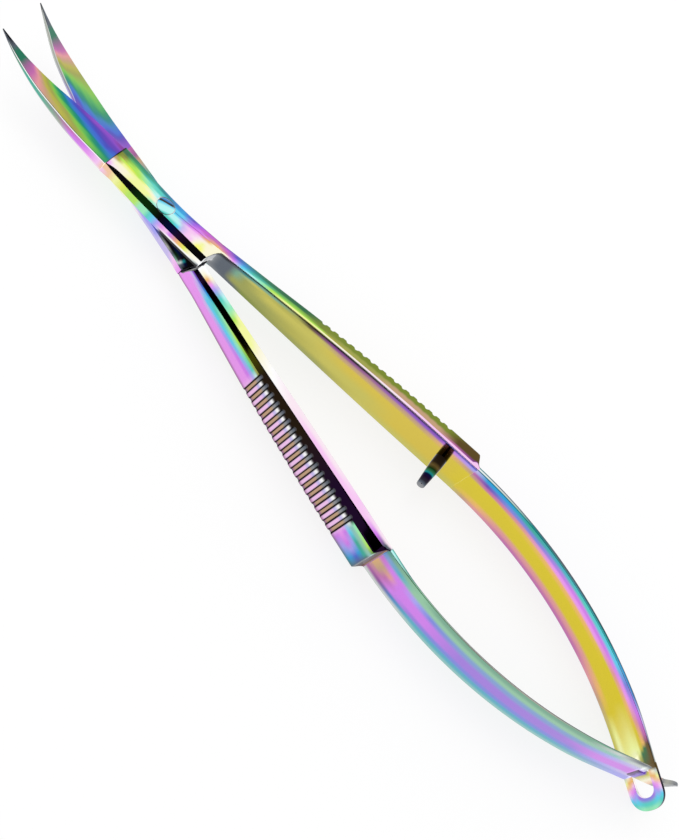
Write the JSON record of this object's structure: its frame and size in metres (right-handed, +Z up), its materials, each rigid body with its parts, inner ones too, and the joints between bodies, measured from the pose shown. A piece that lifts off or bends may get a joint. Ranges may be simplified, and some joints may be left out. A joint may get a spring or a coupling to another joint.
{
  "type": "spring-action squeeze snips",
  "caption": "Squeeze snips with slim pointed blades swept upward, a lapped screw pivot, grooved grips and bowed leaf springs hooked together at the far end.",
  "frame": {"origin": "pivot axis on the flat underside of the lap joint", "axes": "+X from the pivot to the hooked spring end with the blade tips towards -X, +Y to the grip of the half that carries the stop pin, +Z up through the slotted screw head"},
  "size_m": [0.1266, 0.02, 0.0087],
  "materials": {
    "blades": "polished, rainbow heat-tinted coating in bands along the blade",
    "joint": "polished, rainbow heat-tinted coating",
    "grips": "polished, rainbow heat-tinted coating, golden on the broad faces",
    "springs": "polished, rainbow heat-tinted coating",
    "screw": "polished, coated with the joint",
    "stop_pin": "polished, dark coating"
  },
  "bodies": {
    "back_half": {"back_blade": "blades", "back_joint_half": "joint", "back_grip": "grips", "pivot_screw": "screw"},
    "front_half": {"front_blade": "blades", "front_joint_half": "joint", "front_grip": "grips", "stop_pin": "stop_pin"},
    "front_spring": {"front_spring_arm": "springs", "front_spring_eye": "springs"},
    "back_spring": {"back_spring_arm": "springs", "back_spring_tongue": "springs"}
  },
  "joints": [
    {"name": "pivot_turn", "type": "hinge", "parent": "back_half", "child": "front_half", "pos_m": [0, 0, 0], "axis": [0, 0, 1], "range_deg": [-12.2, 0], "stiffness_Nm_per_rad": 0.3},
    {"name": "front_leaf_flex", "type": "hinge", "parent": "front_half", "child": "front_spring", "pos_m": [0.05293, 0.0089, 0.00225], "axis": [0, 0, 1], "range_deg": [0, 14.3]},
    {"name": "back_leaf_flex", "type": "hinge", "parent": "back_half", "child": "back_spring", "pos_m": [0.05293, -0.0089, 0.00225], "axis": [0, 0, 1], "range_deg": [-14.3, 0]}
  ],
  "couplings": [
    {"joint": "front_leaf_flex", "follows": "pivot_turn", "ratio": -1.161},
    {"joint": "back_leaf_flex", "follows": "pivot_turn", "ratio": 1.161}
  ]
}
